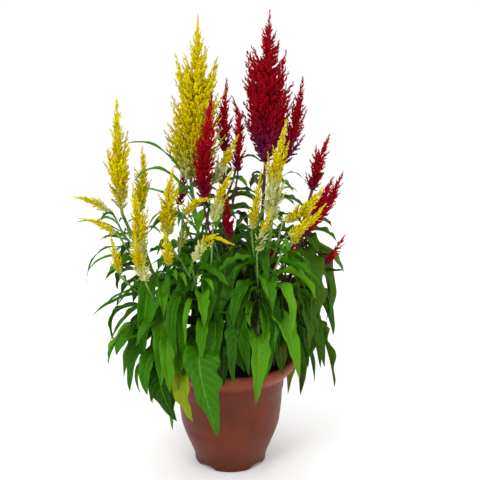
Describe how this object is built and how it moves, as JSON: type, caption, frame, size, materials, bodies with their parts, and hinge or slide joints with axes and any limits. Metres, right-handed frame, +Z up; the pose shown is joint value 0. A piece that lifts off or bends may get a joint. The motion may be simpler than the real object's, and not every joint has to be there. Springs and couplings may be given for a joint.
{
  "type": "potted plume celosia",
  "caption": "Bushy celosia plants with upright feathery flower plumes and drooping pointed leaves, growing in soil in a round tapered plastic flowerpot with a rolled rim and notched feet.",
  "frame": {"origin": "centre of the pot's flat underside, on the surface that the pot stands on", "axes": "+Z up along the pot's axis, -Y towards the side that the picture shows, +X to that side's right"},
  "size_m": [0.406, 0.2837, 0.708],
  "materials": {
    "pot_plastic": "semi-matte red-brown moulded plastic",
    "potting_soil": "rough dark peat soil",
    "green_leaves": "satin green leaf and stem",
    "olive_leaves": "satin olive-green leaf and maroon-tinged stem",
    "yellow_florets": "soft chaffy yellow florets",
    "red_florets": "soft chaffy crimson florets"
  },
  "bodies": {
    "root": {"leafy_stem_back_red": "olive_leaves", "leafy_stem_front_yellow": "green_leaves", "leafy_stem_left_yellow": "green_leaves", "leafy_stem_middle_red": "olive_leaves", "leafy_stem_middle_yellow": "green_leaves", "leafy_stem_right_red": "olive_leaves", "leafy_stem_right_yellow": "green_leaves", "plume_red_far_right": "red_florets", "plume_red_inner": "red_florets", "plume_red_left_back": "red_florets", "plume_red_middle_back": "red_florets", "plume_red_middle_low": "red_florets", "plume_red_middle_small": "red_florets", "plume_red_middle_tall": "red_florets", "plume_red_right_front": "red_florets", "plume_red_right_low": "red_florets", "plume_red_right_middle": "red_florets", "plume_red_right_outer": "red_florets", "plume_red_right_small": "red_florets", "plume_red_right_tall": "red_florets", "plume_red_right_upper": "red_florets", "plume_red_tall": "red_florets", "plume_yellow_front_arching": "yellow_florets", "plume_yellow_front_inner": "yellow_florets", "plume_yellow_front_level": "yellow_florets", "plume_yellow_front_low": "yellow_florets", "plume_yellow_front_slender": "yellow_florets", "plume_yellow_front_tall": "yellow_florets", "plume_yellow_left_front": "yellow_florets", "plume_yellow_left_inner": "yellow_florets", "plume_yellow_left_low": "yellow_florets", "plume_yellow_left_reaching": "yellow_florets", "plume_yellow_left_small": "yellow_florets", "plume_yellow_left_spreading": "yellow_florets", "plume_yellow_left_tall": "yellow_florets", "plume_yellow_right_low": "yellow_florets", "plume_yellow_right_reaching": "yellow_florets", "plume_yellow_right_slender": "yellow_florets", "plume_yellow_right_small": "yellow_florets", "plume_yellow_right_spreading": "yellow_florets", "plume_yellow_right_tall": "yellow_florets", "plume_yellow_slender": "yellow_florets", "plume_yellow_tall": "yellow_florets", "pot": "pot_plastic", "soil": "potting_soil"}
  },
  "joints": []
}
